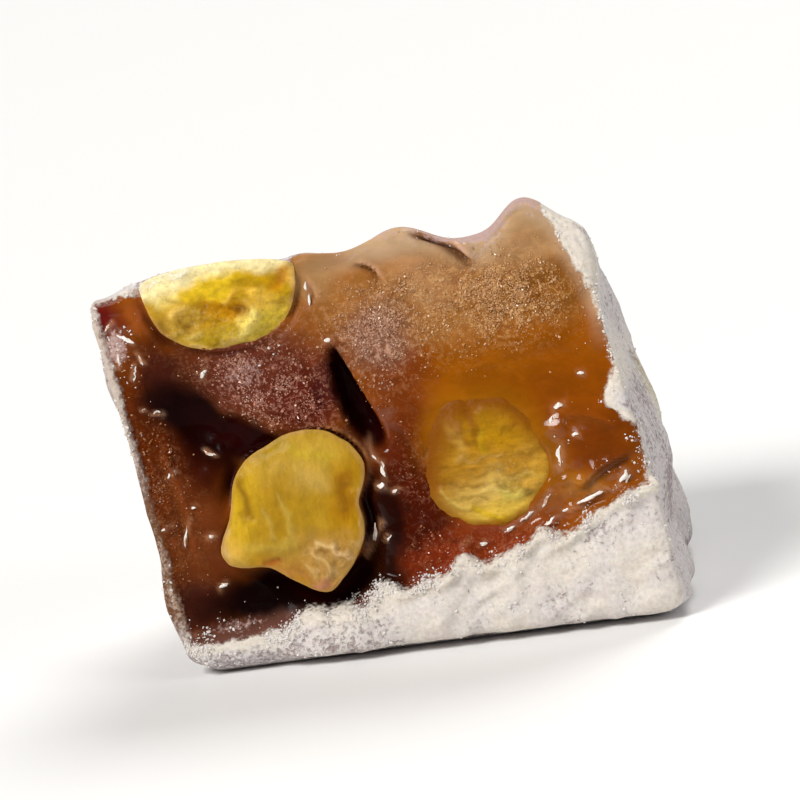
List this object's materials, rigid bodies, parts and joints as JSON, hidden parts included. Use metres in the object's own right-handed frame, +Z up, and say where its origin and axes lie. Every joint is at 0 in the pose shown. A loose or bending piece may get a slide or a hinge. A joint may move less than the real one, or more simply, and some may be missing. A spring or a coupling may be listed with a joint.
{
  "type": "pistachio turkish delight",
  "caption": "One hand-cut piece of pistachio Turkish delight: a soft leaning block of amber jelly in powdered rind, its front cut open to show pistachio kernels.",
  "frame": {"origin": "under the middle of the piece, on the surface that it rests on", "axes": "+X to the right along the cut face, +Y from the cut face to the back, +Z up"},
  "size_m": [0.0389, 0.0293, 0.0299],
  "materials": {
    "jelly": "translucent amber to dark red jelly, moist at the cut, under a rind of starch and powdered sugar",
    "pistachio": "cut pistachio flesh, satin yellow with a thin darker skin at its rim"
  },
  "bodies": {
    "root": {"jelly": "jelly", "pistachio_top": "pistachio", "pistachio_centre": "pistachio", "pistachio_right": "pistachio"}
  },
  "joints": []
}
